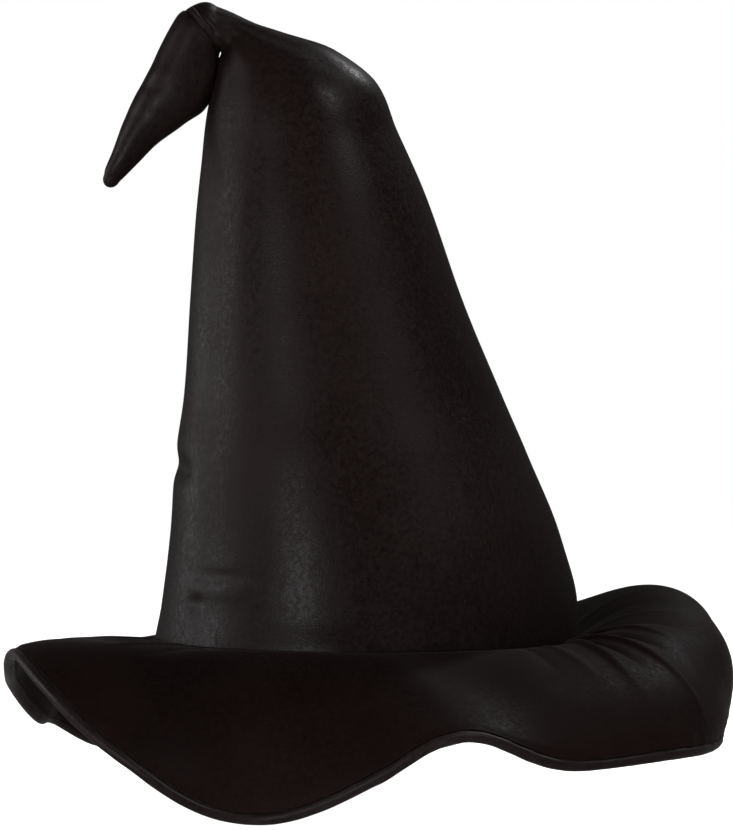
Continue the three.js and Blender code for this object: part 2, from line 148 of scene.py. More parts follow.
def paper_material(name, colour, roughness):
    """A matt paper with a faint mottle, which shows from above only."""
    material = bpy.data.materials.new(name)
    material.use_nodes = True
    nodes, links = material.node_tree.nodes, material.node_tree.links
    shader = nodes["Principled BSDF"]
    mottle = nodes.new("ShaderNodeTexNoise")
    mottle.inputs["Scale"].default_value = PAPER_GRAIN
    shade = nodes.new("ShaderNodeMix")
    shade.data_type = "RGBA"
    shade.inputs["A"].default_value = (*colour, 1)
    shade.inputs["B"].default_value = (*[c * PAPER_SHADE for c in colour], 1)
    links.new(mottle.outputs["Fac"], shade.inputs["Factor"])
    links.new(shade.outputs["Result"], shader.inputs["Base Color"])
    shader.inputs["Roughness"].default_value = roughness
    sides = nodes.new("ShaderNodeMixShader")
    links.new(nodes.new("ShaderNodeNewGeometry").outputs["Backfacing"], sides.inputs["Fac"])
    links.new(shader.outputs["BSDF"], sides.inputs[1])
    links.new(nodes.new("ShaderNodeBsdfTransparent").outputs["BSDF"], sides.inputs[2])
    links.new(sides.outputs["Shader"], nodes["Material Output"].inputs["Surface"])
    return material


FLOOR_DROP = 0.006  # floor below the lowest point of the rim
FLOOR_RADIUS = 2.4
FLOOR_SIDES = 96
WASH_STRENGTH = 3.6
floor_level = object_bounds()[0][2] - FLOOR_DROP

bm = bmesh.new()
bmesh.ops.create_circle(bm, cap_ends=True, segments=FLOOR_SIDES, radius=FLOOR_RADIUS)
bmesh.ops.translate(bm, verts=bm.verts, vec=(0, 0, floor_level))
floor_mesh = bpy.data.meshes.new("studio_floor")
bm.to_mesh(floor_mesh)
bm.free()
floor_mesh.materials.append(paper_material("pale_paper", (0.93, 0.93, 0.92), roughness=0.9))
studio_floor = add_object("studio_floor", floor_mesh)
studio_floor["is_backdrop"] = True
studio_floor.visible_glossy = False

washed = bpy.data.collections.new("washed_by_floor_light")
washed.objects.link(studio_floor)
wash_data = bpy.data.lights.new("floor_wash", "SUN")
wash_data.energy = WASH_STRENGTH
floor_wash = add_object("floor_wash", wash_data)
floor_wash.light_linking.receiver_collection = washed
floor_wash.light_linking.blocker_collection = washed
print("floor at", round(floor_level / MM, 1), "mm")

# %% [markdown]
# ## Reading a shape from a few rows
# Cone, hanging end and brim are each described by a short table of rows, the same values that the packed
# solids were made from. The brim's rows were started by hand and then adjusted by a separate fitting program.
# A smooth curve through the rows gives every place between them.

# %% Table reader
def smooth(low, high, value):
    """0 below low, 1 above high, and an easy turn between."""
    share = min(max((value - low) / (high - low), 0.0), 1.0)
    return share * share * (3 - 2 * share)


def read_keys(rows, position, period=0.0):
    """The rows' values at a position, on smooth curves; a period joins the last row to the first."""
    count = len(rows)

    def row_at(index):
        if not period:
            return rows[min(max(index, 0), count - 1)]
        turn, place = divmod(index, count)
        return (rows[place][0] + turn * period, *rows[place][1:])

    index, last = 0, count - 1 if period else count - 2
    while index < last and row_at(index + 1)[0] <= position:
        index += 1
    before, start, end, after = (row_at(index + k) for k in (-1, 0, 1, 2))
    span = end[0] - start[0]
    s = min(max((position - start[0]) / span, 0.0), 1.0)
    values = []
    for k in range(1, len(start)):
        slope_in = (end[k] - before[k]) / (end[0] - before[0]) * span if end[0] > before[0] else 0.0
        slope_out = (after[k] - start[k]) / (after[0] - start[0]) * span if after[0] > start[0] else 0.0
        rise = 2 * s**3 - 3 * s**2
        values.append(
            (1 + rise) * start[k] - rise * end[k]
            + (s**3 - 2 * s**2 + s) * slope_in + (s**3 - s**2) * slope_out
        )
    return values


# %% [markdown]
# ## Velvet
# Stretch velvet is nearly black where you look down into the pile and grey where the pile catches the light.
# It could be a glossy black with a bump, but that looks like rubber. Here a dark, fairly rough base carries a
# sheen layer, and three scales of noise move its colour, roughness and height: the pile, the brushed cloudy
# patches a hand leaves, and soft stretch marks.

# %% Cloth materials
MOTTLE_RANGE = (0.4, 0.6)  # the noise lies mostly between these
BRUSHED_SCALE = 22.0  # cloudy patches
STRETCH_SCALE = 120.0  # stretch marks
PILE_STEP = 0.1 * MM
STRETCH_STEP = 0.5 * MM
RIB_STEP = 0.12 * MM


def add_ribs(nodes, links, bump, spacing):
    """Woven ribs across a ribbon, from its own cut coordinates, as a second bump under the first."""
    cut = nodes.new("ShaderNodeUVMap")
    cut.uv_map = "cut"
    parts = nodes.new("ShaderNodeSeparateXYZ")
    links.new(cut.outputs["UV"], parts.inputs["Vector"])
    turn = nodes.new("ShaderNodeMath")
    turn.operation = "MULTIPLY"
    turn.inputs[1].default_value = 2 * pi / spacing
    links.new(parts.outputs["X"], turn.inputs[0])
    wave = nodes.new("ShaderNodeMath")
    wave.operation = "SINE"
    links.new(turn.outputs["Value"], wave.inputs[0])
    rib = nodes.new("ShaderNodeBump")
    rib.inputs["Strength"].default_value = 1.0
    rib.inputs["Distance"].default_value = RIB_STEP
    links.new(wave.outputs["Value"], rib.inputs["Height"])
    links.new(rib.outputs["Normal"], bump.inputs["Normal"])


def cloth_material(
        name, dark, light, roughness, sheen, specular, pile_scale=900.0, pile_height=0.5, ribs=0.0):
    """A cloth. roughness is its least and greatest, sheen its weight and roughness, ribs their spacing."""
    material = bpy.data.materials.new(name)
    material.use_nodes = True
    nodes, links = material.node_tree.nodes, material.node_tree.links
    shader = nodes["Principled BSDF"]
    place = nodes.new("ShaderNodeTexCoord").outputs["Object"]

    def noise_field(scale, detail, stretch=(1, 1, 1)):
        mapping = nodes.new("ShaderNodeMapping")
        mapping.inputs["Scale"].default_value = stretch
        links.new(place, mapping.inputs["Vector"])
        field = nodes.new("ShaderNodeTexNoise")
        field.inputs["Scale"].default_value = scale
        field.inputs["Detail"].default_value = detail
        links.new(mapping.outputs["Vector"], field.inputs["Vector"])
        return field.outputs["Fac"]

    def mix_number(first, second, share):
        mix = nodes.new("ShaderNodeMix")
        mix.inputs["Factor"].default_value = share
        links.new(first, mix.inputs["A"])
        links.new(second, mix.inputs["B"])
        return mix.outputs["Result"]

    pile = noise_field(pile_scale, 3.0)
    flecks = noise_field(pile_scale * 0.45, 2.0)
    brushed = noise_field(BRUSHED_SCALE, 3.0, (1, 1, 0.5))
    stretch_marks = noise_field(STRETCH_SCALE, 4.0, (1, 1, 0.35))
    spread = nodes.new("ShaderNodeMapRange")
    spread.inputs["From Min"].default_value = MOTTLE_RANGE[0]
    spread.inputs["From Max"].default_value = MOTTLE_RANGE[1]
    links.new(mix_number(mix_number(pile, flecks, 0.6), brushed, 0.35), spread.inputs["Value"])
    mottle = spread.outputs["Result"]

    colour = nodes.new("ShaderNodeMix")
    colour.data_type = "RGBA"
    colour.inputs["A"].default_value = (*dark, 1)
    colour.inputs["B"].default_value = (*light, 1)
    links.new(mottle, colour.inputs["Factor"])
    links.new(colour.outputs["Result"], shader.inputs["Base Color"])

    rough = nodes.new("ShaderNodeMapRange")
    rough.inputs["To Min"].default_value = roughness[0]
    rough.inputs["To Max"].default_value = roughness[1]
    links.new(mottle, rough.inputs["Value"])
    links.new(rough.outputs["Result"], shader.inputs["Roughness"])

    bump = nodes.new("ShaderNodeBump")
    bump.inputs["Strength"].default_value = pile_height
    bump.inputs["Distance"].default_value = PILE_STEP
    links.new(pile, bump.inputs["Height"])
    waves = nodes.new("ShaderNodeBump")
    waves.inputs["Strength"].default_value = 0.25
    waves.inputs["Distance"].default_value = STRETCH_STEP
    links.new(stretch_marks, waves.inputs["Height"])
    links.new(waves.outputs["Normal"], bump.inputs["Normal"])
    if ribs:
        add_ribs(nodes, links, waves, ribs)
    links.new(bump.outputs["Normal"], shader.inputs["Normal"])

    shader.inputs["Specular IOR Level"].default_value = specular
    shader.inputs["Sheen Weight"].default_value = sheen[0]
    shader.inputs["Sheen Roughness"].default_value = sheen[1]
    shader.inputs["Sheen Tint"].default_value = (0.9, 0.86, 0.82, 1)
    return material


crown_velvet = cloth_material(
    "crown_stretch_velvet", (0.0075, 0.0036, 0.0033), (0.014, 0.0075, 0.007),
    roughness=(0.34, 0.56), sheen=(0.02, 0.3), specular=0.16, pile_height=1.0)
# The brim's velvet is the crown's cloth with painted shade: its base colour is painted a little darker.
brim_painted_darker_velvet = cloth_material(
    "brim_painted_shade_velvet", (0.007, 0.0031, 0.0028), (0.0125, 0.006, 0.0055),
    roughness=(0.5, 0.7), sheen=(0.05, 0.3), specular=0.055, pile_height=1.0)
# The rim roll's velvet is the brim's cloth with a painted highlight: its base colour is painted lighter.
rim_painted_highlight_velvet = cloth_material(
    "rim_painted_highlight_velvet", (0.009, 0.0045, 0.0042), (0.017, 0.010, 0.0095),
    roughness=(0.4, 0.55), sheen=(0.1, 0.3), specular=0.22)
lining_satin = cloth_material(
    "lining_satin", (0.008, 0.008, 0.009), (0.016, 0.016, 0.018),
    roughness=(0.3, 0.42), sheen=(0.0, 0.3), specular=0.5, pile_scale=2200.0, pile_height=0.2)
print("velvets", [m.name for m in (crown_velvet, brim_painted_darker_velvet, rim_painted_highlight_velvet, lining_satin)])


# %% [markdown]
# ## Sewn cloth
# Every cloth is made one way: a flat grid from bmesh, laid on its surface row by row. A ring is then joined
# along its edge, as a back seam joins it. The flat grid also gives the UV map, in metres.

# %% Grid to cloth
def finish_mesh(bm, name, material):
    """Turns a bmesh into a smooth object of one material."""
    mesh = bpy.data.meshes.new(name)
    bm.to_mesh(mesh)
    bm.free()
    mesh.polygons.foreach_set("use_smooth", [True] * len(mesh.polygons))
    mesh.materials.append(material)
    return add_object(name, mesh)


def lay_cloth(name, columns, rows, place, flat, material, thickness=0.0, closed=True):
    """Lays a grid by place(around, along), both 0 to 1. Sides that meet are sewn together."""
    bm = bmesh.new()
    bmesh.ops.create_grid(bm, x_segments=columns, y_segments=rows, size=0.5)
    uv = bm.loops.layers.uv.new("cut")
    for face in bm.faces:
        for loop in face.loops:
            corner = loop.vert.co
            loop[uv].uv = ((corner.x + 0.5) * flat[0], (corner.y + 0.5) * flat[1])
    for vert in bm.verts:
        vert.co = place(vert.co.x + 0.5, vert.co.y + 0.5)
    bmesh.ops.remove_doubles(bm, verts=bm.verts, dist=1e-6)
    if closed:
        bmesh.ops.dissolve_degenerate(bm, edges=bm.edges, dist=1e-7)
    piece = finish_mesh(bm, name, material)
    if thickness:
        wall = piece.modifiers.new("cloth_thickness", "SOLIDIFY")
        wall.thickness = abs(thickness)
        wall.offset = -1.0 if thickness > 0 else 1.0
    faces = piece.data.polygons
    print(name, len(faces), "faces,", round(sum(face.area for face in faces), 4), "square metres")
    return piece


# %% [markdown]
# ## The cone
# The cone is one panel closed by a seam at the back. It could be a plain cone, but the real one leans, has a
# square shoulder near the top where the fibre fill ends, and ends in the round fold. The rows give its middle
# line and width. On them rides what the cloth does by itself: a bloused foot, dents near the foot, a nick at
# the left, the sunk back seam, and two small ridges where the fold crosses the front.

# %% Cone's surface
HEAD_RADIUS = 101.0
CROWN_HEIGHT = 293.0
CROWN_LEAN = 78.5
KNUCKLE_RADIUS = 12.2
KNUCKLE_DEPTH = 1.2
KNUCKLE_TILT = radians(86.0)
FOLD = Vector((-CROWN_LEAN, 0.0, CROWN_HEIGHT))

# station, share of height, share of lean, tilt in degrees, share of head radius, depth ratio
CROWN_KEYS = [
    (0.0, 0.0, 0.0, 0.0, 1.0, 1.0),
    (0.177, 0.177, 0.006, 0.0, 0.926, 1.0),
    (0.304, 0.304, 0.085, 0.0, 0.84, 1.0),
    (0.406, 0.406, 0.143, 0.0, 0.754, 1.0),
    (0.563, 0.563, 0.248, 0.0, 0.644, 1.0),
    (0.717, 0.717, 0.344, 5.0, 0.547, 1.0),
    (0.811, 0.811, 0.411, 9.0, 0.473, 1.0),
    (0.889, 0.889, 0.465, 12.0, 0.41, 1.0),
    (0.93, 0.944, 0.569, 14.0, 0.292, 1.06),
    (0.97, 0.974, 0.707, 23.0, 0.167, 1.25),
    (1.01, 0.9925, 0.805, 50.0, 0.104, 1.25),
    (1.04, 0.9985, 0.922, 84.0, 0.105, 1.2),
]
NECK_STATION = 1.04  # where the rows end and the round fold begins
POLE_STATION = 1.35  # the closed end of the round fold
NECK_TURN = radians(-30.0)
MOUTH_TILT = radians(47.5)
MOUTH_NORMAL = Vector((sin(MOUTH_TILT), 0.0, cos(MOUTH_TILT)))  # of the hanging end's mouth

# height, centre and reach of each dent and swelling of the cone
CROWN_BUMPS = [
    (-0.8, (-68, -66, 34.5), (13, 60, 2.6)),
    (0.6, (-68, -66, 28), (20, 60, 5.0)),
    (-1.3, (-81, -56, 21), (4, 40, 4.0)),
    (2.8, (99, 0, 22), (16, 90, 19)),
    (-1.8, (-93, 0, 86), (10, 60, 6.0)),
    (-1.3, (-87, -25, 83), (5, 30, 5.0)),
    (-1.9, (-52, 0, 297), (11, 20, 9)),
    (1.5, (-75, 0, 305), (8, 14, 6)),
    (2.2, (-70.5, -13, 289), (4.5, 9, 4.5)),
]


def crown_ring(station):
    """Centre, tilt, half width and half depth of the cone's ring at a station."""
    if station <= NECK_STATION:
        height, lean, tilt, width, depth = read_keys(CROWN_KEYS, station)
        centre = Vector((-lean * CROWN_LEAN, 0.0, height * CROWN_HEIGHT))
        return centre, radians(tilt), HEAD_RADIUS * width, HEAD_RADIUS * width * depth
    share = (station - NECK_STATION) / (POLE_STATION - NECK_STATION)
    turn = NECK_TURN + share * (pi / 2 - NECK_TURN)
    along = KNUCKLE_RADIUS * sin(turn)
    across = KNUCKLE_RADIUS * max(cos(turn), 0.0)
    centre = FOLD + Vector((-sin(KNUCKLE_TILT), 0.0, cos(KNUCKLE_TILT))) * along
    return centre, KNUCKLE_TILT, across, across * KNUCKLE_DEPTH


def on_ring(ring, angle):
    """The point of a ring at an angle, which runs from +X round the back of the hat."""
    centre, tilt, half_width, half_depth = ring
    across = half_width * cos(angle)
    return centre + Vector((across * cos(tilt), half_depth * sin(angle), across * sin(tilt)))


def angle_gap(angle, middle):
    """Signed difference of two angles in degrees, -180 to 180."""
    return (degrees(angle) - middle + 180.0) % 360.0 - 180.0


def bump_at(point, centre, reach):
    """1 at a centre, falling to 0 over a reach given for each axis."""
    far = sum(((point[k] - centre[k]) / reach[k]) ** 2 for k in range(3))
    return exp(-far)


def bumps_at(point, bumps):
    """The sum of a table of bumps at a point."""
    return sum(height * bump_at(point, centre, reach) for height, centre, reach in bumps)


def crown_relief(point, station, angle, half_width):
    """How far the velvet stands out from the plain cone, in millimetres."""
    foot = 1 - smooth(0.0, 0.06, station)
    relief = foot * (1.2 + 0.8 * sin(3 * angle + 0.6) + 0.6 * sin(7 * angle))
    beside_seam = radians(abs(angle_gap(angle, 90.0))) * half_width
    relief -= 0.9 * exp(-((beside_seam / 1.6) ** 2)) * smooth(0.0, 0.03, station)
    relief += 0.25 * sin(station * 260.0) * exp(-((beside_seam - 3.0) / 2.5) ** 2)
    relief += bumps_at(point, CROWN_BUMPS)
    from_mouth = (point - FOLD).dot(MOUTH_NORMAL)
    facing_front = smooth(2.0, 8.0, -point.y) * smooth(NECK_STATION - 0.04, NECK_STATION, station)
    relief += 0.5 * exp(-((from_mouth / 3.0) ** 2)) * smooth(NECK_STATION, NECK_STATION + 0.05, station)
    relief += 1.1 * exp(-((from_mouth - 2.6) / 1.0) ** 2) * facing_front
    relief -= 0.8 * exp(-((from_mouth - 5.2) / 1.3) ** 2) * facing_front
    body = smooth(0.05, 0.25, station) * (1 - smooth(0.9, 1.02, station))
    relief += body * 1.3 * noise.noise(Vector((point.x * 0.013, point.y * 0.013, point.z * 0.007)))
    near_fold = smooth(0.72, 0.95, station) * (1 - smooth(1.0, 1.08, station))
    relief += near_fold * 0.4 * sin(9 * angle + station * 7)
    return relief


def crown_place(around, along):
    """The cone's cloth starts at the back seam and runs from the foot to the pole of the fold."""
    station = along * POLE_STATION
    angle = pi / 2 + around * 2 * pi
    ring = crown_ring(station)
    point = on_ring(ring, angle)
    outward = on_ring((Vector(), ring[1], 1.0, 1.0), angle)
    point += outward * crown_relief(point, station, angle, ring[2]) * min(ring[2] / 12.0, 1.0)
    return point * MM


crown_cloth = lay_cloth(
    "crown_cloth", 240, 200, crown_place, (0.635, 0.42), crown_velvet, thickness=1.0 * MM)
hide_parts("crown_shell")
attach(crown_cloth, "hat")

# %% [markdown]
# ## The hanging end
# The end is the cone's own point, stuffed like a small cushion and folded over. It sits on the round fold
# like a hood, so that it can be lifted without tearing the cloth.

# %% Hanging end's surface
TIP_START = -0.09  # station of the mouth's edge
TIP_ROUND = 0.08  # stations that the rounded end takes after the last row

# station, x and z from the fold, tilt in degrees, half width, depth ratio
TIP_KEYS = [
    (TIP_START, 0.0, 0.0, -47.5, 13.1, 1.22),
    (0.0, -3.6, -3.3, -47.5, 13.3, 1.2),
    (0.14, -8.5, -15.5, -34.0, 14.2, 1.12),
    (0.32, -13.8, -29.5, -36.0, 15.6, 1.0),
    (0.52, -21.3, -39.5, -26.0, 13.3, 0.98),
    (0.68, -30.6, -50.6, -26.0, 9.6, 1.0),
    (0.82, -36.6, -60.6, -20.0, 7.0, 1.0),
    (0.93, -41.5, -67.8, -18.0, 5.2, 1.0),
    (1.0, -43.6, -71.0, -24.0, 3.9, 1.0),
]
TIP_LEAN = radians(27.0)
TIP_AXIS = Vector((-sin(TIP_LEAN), 0.0, -cos(TIP_LEAN)))
TIP_END = 4.6  # length of the rounded end

# height, centre and reach of the small dents in the stuffed end
TIP_BUMPS = [
    (-0.5, (-101, -12, 266), (6, 12, 3.0)),
    (0.4, (-101, -12, 272), (7, 14, 4.0)),
    (-0.4, (-108, -10, 252), (7, 12, 3.0)),
]


def tip_ring(station):
    """Centre, tilt, half width and half depth of the hanging end's ring at a station."""
    x, z, tilt, width, depth = read_keys(TIP_KEYS, min(station, 1.0))
    centre = FOLD + Vector((x, 0.0, z))
    shrink = 1.0
    if station > 1.0:
        turn = (station - 1.0) / TIP_ROUND * pi / 2
        centre = centre + TIP_AXIS * TIP_END * sin(turn)
        shrink = max(cos(turn), 0.0)
    return centre, radians(tilt), width * shrink, width * depth * shrink


def tip_place(around, along):
    """The stuffed end's cloth runs from the mouth to the point, and swells on the side next to the cone."""
    station = TIP_START + along * (1.0 + TIP_ROUND - TIP_START)
    angle = around * 2 * pi
    ring = tip_ring(station)
    point = on_ring(ring, angle)
    outward = on_ring((Vector(), ring[1], 1.0, 1.0), angle)
    relief = 0.5 * noise.noise(point * 0.06 + Vector((3, 0, 0)))
    beside_cone = smooth(TIP_START, 0.05, station) * (1 - smooth(0.1, 0.42, station))
    relief += 5.6 * beside_cone * max(cos(angle), 0.0) ** 2
    relief += 0.15 * exp(-(((station + 0.06) / 0.02) ** 2))
    relief += bumps_at(point, TIP_BUMPS)
    return (point + outward * relief * min(ring[2] / 6.0, 1.0)) * MM


tip_cloth = lay_cloth("tip_cloth", 120, 110, tip_place, (0.09, 0.09), crown_velvet, thickness=-0.8 * MM)
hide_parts("tip_shell")
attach(tip_cloth, "tip")

# %% [markdown]
# ## The brim
# The brim is two rings of velvet over a stiffener. Cut flat, a ring would lie flat, and the wire in its rim
# is what bends it. So each radius of the brim is drawn as a strip of cloth of its real length, which leaves
# the seam at one slope and turns steadily to another at the rim. The rows give both slopes right round.

# %% Brim's surface
# angle, slope at the root, slope at the rim, width of the cloth, how late it bends
BRIM_KEYS = [
    (0, 29.4, -120, 103.1, 1.85),
    (15, 36.6, -106.5, 102.1, 1.95),
    (30, 33, -74.9, 105.6, 2.16),
    (46, 24.5, -50.6, 106.8, 1.39),
    (66, 14.3, -38.1, 106.9, 1.25),
    (90, -7.9, -42.1, 103.9, 1),
    (115, -13.5, -57.3, 100, 1.04),
    (137, -14.4, -60, 98.3, 1.09),
    (150, -6.1, -56.8, 91.4, 1.29),
    (165, -7.5, -67.2, 79.3, 1.68),
    (180, 3.2, -75, 77.9, 3.09),
    (194, 4.6, -50.2, 76.9, 3.57),
    (208, 7.1, -13.9, 85, 2.87),
    (222, 5.1, -24.8, 99.4, 1.88),
    (237, -13.3, -31.2, 107.3, 0.8),
    (254, -14.4, -72.4, 109.3, 1.17),
    (271, -3.4, -41.5, 103.2, 0.53),
    (286, -14.3, -23.3, 94.7, 1.07),
    (303, -6.5, -70.5, 100.5, 1.92),
    (320, 4.4, -71.5, 106.7, 1.57),
    (336, 16.3, -91.3, 106.4, 1.47),
    (348, 23.2, -109.4, 104.3, 1.59),
]
BRIM_BLEND = 6.0  # cloth beside the seam that eases into the slope
BRIM_ROOT = 5.0  # cloth that reaches inside the seam
SECTION_STEPS = 60
section_cache = {}


def brim_section(angle):
    """Points of (distance from the axis, height) along one radius, at even lengths of cloth."""
    turn = round(degrees(angle) % 360.0, 4)
    if turn in section_cache:
        return section_cache[turn]
    root, rim, width, lateness = read_keys(BRIM_KEYS, turn, 360.0)
    radius, height = HEAD_RADIUS, 0.0
    points = [(radius, height)]
    for n in range(SECTION_STEPS):
        share = (n + 0.5) / SECTION_STEPS
        start = smooth(0.0, BRIM_BLEND, share * width)
        slope = radians(root + (rim - root) * share**lateness) * start
        radius += width / SECTION_STEPS * cos(slope)
        height += width / SECTION_STEPS * sin(slope)
        points.append((radius, height))
    section_cache[turn] = points
    return points


def on_brim(angle, share):
    """A point of the brim's plain surface; a share below 0 is millimetres inside the seam."""
    if share < 0:
        radius, height = HEAD_RADIUS + share, 0.0
    else:
        points = brim_section(angle)
        step = min(share, 1.0) * SECTION_STEPS
        first = min(int(step), SECTION_STEPS - 1)
        part = step - first
        radius = points[first][0] * (1 - part) + points[first + 1][0] * part
        height = points[first][1] * (1 - part) + points[first + 1][1] * part
    return Vector((radius * cos(angle), radius * sin(angle), height))


def brim_frame(angle, share):
    """Point, upward normal and outward tangent of the brim."""
    outward = Vector((cos(angle), sin(angle), 0.0))
    if share <= 0:
        return on_brim(angle, share), Vector((0, 0, 1)), outward
    step = 1.0 / SECTION_STEPS
    out = (on_brim(angle, min(share + step, 1.0)) - on_brim(angle, max(share - step, 0.0))).normalized()
    around = on_brim(angle + 0.01, share) - on_brim(angle - 0.01, share)
    return on_brim(angle, share), out.cross(around).normalized(), out


# direction of a crease, its swing towards the seam, its width (all in degrees), its height, where it ends
CREASES = [
    (341, 14, 1.2, 1.9, 0.62),
    (328.5, 12, 1.0, 2.5, 1.0),
    (317, 20, 1.1, 2.2, 0.85),
    (322.5, 16, 1.5, -1.6, 0.7),
    (335, 11, 2.4, -2.0, 0.85),
    (311, 13, 1.8, 0.9, 0.7),
    (305, 12, 3.0, -0.8, 0.6),
    (350, 8, 3.4, -0.9, 0.7),
    (0, 4, 3.6, 0.8, 0.8),
    (10, 2, 3.6, -0.7, 0.8),
    (20, 0, 3.8, 0.7, 0.9),
    (206, -3, 2.6, 1.2, 0.6),
    (213, -4, 2.2, -1.2, 0.6),
    (219, -5, 1.8, 1.4, 0.66),
    (226, -5, 2.6, -0.9, 0.55),
    (186, 0, 3.2, 1.2, 0.5),
    (176, 0, 3.4, -1.0, 0.45),
]


def brim_relief(angle, share):
    """Small folds of the brim's velvet: a fan of creases from the seam, and puckers at the rim."""
    relief = 0.0
    for middle, swing, width, height, fade in CREASES:
        apart = abs(angle_gap(angle, middle + swing * (1 - share) ** 3)) / (width * (0.55 + 0.6 * share))
        rising = smooth(0.0, 0.06, share)
        falling = 1 - smooth(fade * 0.5, fade, share)
        relief += height * exp(-(apart**1.35)) * rising * falling
    point = on_brim(angle, share)
    relief += 0.9 * noise.noise(point * 0.02) * smooth(0.0, 0.3, share)
    pucker = smooth(0.88, 0.97, share)
    relief += pucker * 0.5 * noise.noise(Vector((cos(angle) * 22, sin(angle) * 22, 5)))
    relief -= 0.7 * smooth(0.955, 0.985, share)
    return relief


COLUMN_CROWDING = 0.5  # how much closer the cloth's columns lie at the fan of creases
CROWDED_AT = radians(330.0)
ROOT_ROWS = 0.05  # share of the cloth's rows that lie under the cone's foot
UPPER_LIFT = 0.1  # of the cloth's outer face above the brim's plain surface
UNDER_LIFT = -3.9
UNDER_CREASES = 0.6  # how much of the creases shows through to the underside


def brim_angle(around):
    """Direction of a column; the columns crowd where the creases are finest."""
    turn = around * 2 * pi
    return turn - COLUMN_CROWDING * (sin(turn - CROWDED_AT) + sin(CROWDED_AT))


def brim_cloth(name, height, thickness, relief_share):
    """One ring of velvet at a height over the brim's plain surface."""
    def place(around, along):
        angle = brim_angle(around)
        if along < ROOT_ROWS:
            share, lift = -BRIM_ROOT * (1 - along / ROOT_ROWS), 0.0
        else:
            share = (along - ROOT_ROWS) / (1 - ROOT_ROWS)
            lift = brim_relief(angle, share) * relief_share
        point, normal, _ = brim_frame(angle, share)
        return (point + normal * (height + lift)) * MM
    return lay_cloth(name, 600, 74, place, (1.3, 0.108), brim_painted_darker_velvet, thickness=thickness)


brim_top_cloth = brim_cloth("brim_top_cloth", UPPER_LIFT, 1.0 * MM, 1.0)
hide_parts("brim_top")
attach(brim_top_cloth, "hat")

brim_under_cloth = brim_cloth("brim_under_cloth", UNDER_LIFT, -1.0 * MM, UNDER_CREASES)
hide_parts("brim_underside")
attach(brim_under_cloth, "hat")

# %% [markdown]
# ## The rolled rim
# The two velvets are turned round the wire and stitched, which leaves a narrow roll right round the edge.
# It could be a plain tube, but the stitches pull the real roll into small puckers, so its radius breathes.

# %% Rim roll
ROLL_RADIUS = 2.6
ROLL_DROP = -2.05  # middle of the brim's layers
ROLL_LAP = 0.35  # how far the roll closes over the cloth's edge
ROLL_TURN = radians(172.0)  # how far the roll wraps to each side of its outermost line
PUCKERS = 96


def rim_centre(angle):
    """Middle of the roll with the brim's normal and outward tangent there."""
    point, normal, outward = brim_frame(angle, 1.0)
    return point + normal * ROLL_DROP + outward * (ROLL_RADIUS - ROLL_LAP), normal, outward


def roll_place(around, along):
    """The roll's cloth goes round the rim by around, and round the wire by along."""
    angle = around * 2 * pi
    centre, normal, outward = rim_centre(angle)
    turn = (along * 2 - 1) * ROLL_TURN
    pull = 0.12 * sin(PUCKERS * angle + 1.5 * sin(5 * angle)) + 0.25 * noise.noise(centre * 0.09)
    radius = ROLL_RADIUS + pull * (0.6 - 0.4 * cos(turn))
    return (centre + outward * radius * cos(turn) + normal * radius * sin(turn)) * MM


# The roll's velvet is painted lighter than the brim's, as a painted highlight along the rim.
rim_roll = lay_cloth("rim_roll", 960, 18, roll_place, (1.25, 0.015), rim_painted_highlight_velvet)
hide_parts("brim_edge_binding")
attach(rim_roll, "hat")

# %% [markdown]
# ## Inside the cone
# The lining is a satin bag that hangs a little loose in the cone, in long soft folds. It only shows from
# below.

# %% Lining
LINING_FOOT = 0.0012
LINING_TOP = 0.81
LINING_WALL_ROWS = 0.9  # share of the cloth's rows on the wall; the rest close its top
LINING_DOME = 8.0
LINING_DEPTH = 4.5  # inside the cone's outer face


def lining_place(around, along):
    """The lining follows the cone's wall in loose folds and closes in a low dome."""
    angle = pi / 2 + around * 2 * pi
    station = min(along / LINING_WALL_ROWS, 1.0) * LINING_TOP + LINING_FOOT
    centre, tilt, half_width, half_depth = crown_ring(station)
    turn = max(along - LINING_WALL_ROWS, 0.0) / (1 - LINING_WALL_ROWS) * pi / 2
    folds = 0.63 * sin(11 * angle + 5 * station) + 0.42 * sin(17 * angle - 9 * station)
    depth = LINING_DEPTH + folds * smooth(0.12, 0.4, station)
    shrink = max(cos(turn), 0.0)
    ring = (centre, tilt, (half_width - depth) * shrink, (half_depth - depth) * shrink)
    return (on_ring(ring, angle) + Vector((0, 0, LINING_DOME * sin(turn)))) * MM


lining_cloth = lay_cloth("lining_cloth", 240, 120, lining_place, (0.6, 0.26), lining_satin)
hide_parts("crown_lining")
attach(lining_cloth, "hat")

# %% [markdown]
# ## Sweatband, tape and label
# These only show from below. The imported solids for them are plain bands. Here the sweatband is a ribbed
# ribbon with a bound upper edge that eases away from the lining, the tape is a narrower one over the raw
# seam, and the label is a blank piece of satin held by its two ends.

# %% Ribbons
tape_cotton = cloth_material(
    "tape_cotton", (0.006, 0.006, 0.006), (0.016, 0.015, 0.015),
    roughness=(0.7, 0.9), sheen=(0.05, 0.5), specular=0.3, pile_scale=1600.0, ribs=1.4 * MM)
label_satin = cloth_material(
    "label_satin", (0.06, 0.06, 0.065), (0.09, 0.09, 0.095),
    roughness=(0.3, 0.4), sheen=(0.0, 0.3), specular=0.5, pile_scale=2400.0, pile_height=0.2)
BAND_FOOT = 0.6
BAND_TOP = 30.0
BAND_DEPTH = 5.0  # inside the cone's outer face
TAPE_RADIUS = 95.6
TAPE_FOOT = -3.75
TAPE_HEIGHT = 3.9
LABEL_WIDTH = 32.0
LABEL_HEIGHT = 14.0
LABEL_FOOT = 9.0
LABEL_DEPTH = 6.5


def wall_point(angle, height, depth):
    """A point inside the cone's wall at a height above the seam, in millimetres."""
    centre, tilt, half_width, half_depth = crown_ring(height / CROWN_HEIGHT)
    return on_ring((centre, tilt, half_width - depth, half_depth - depth), angle)


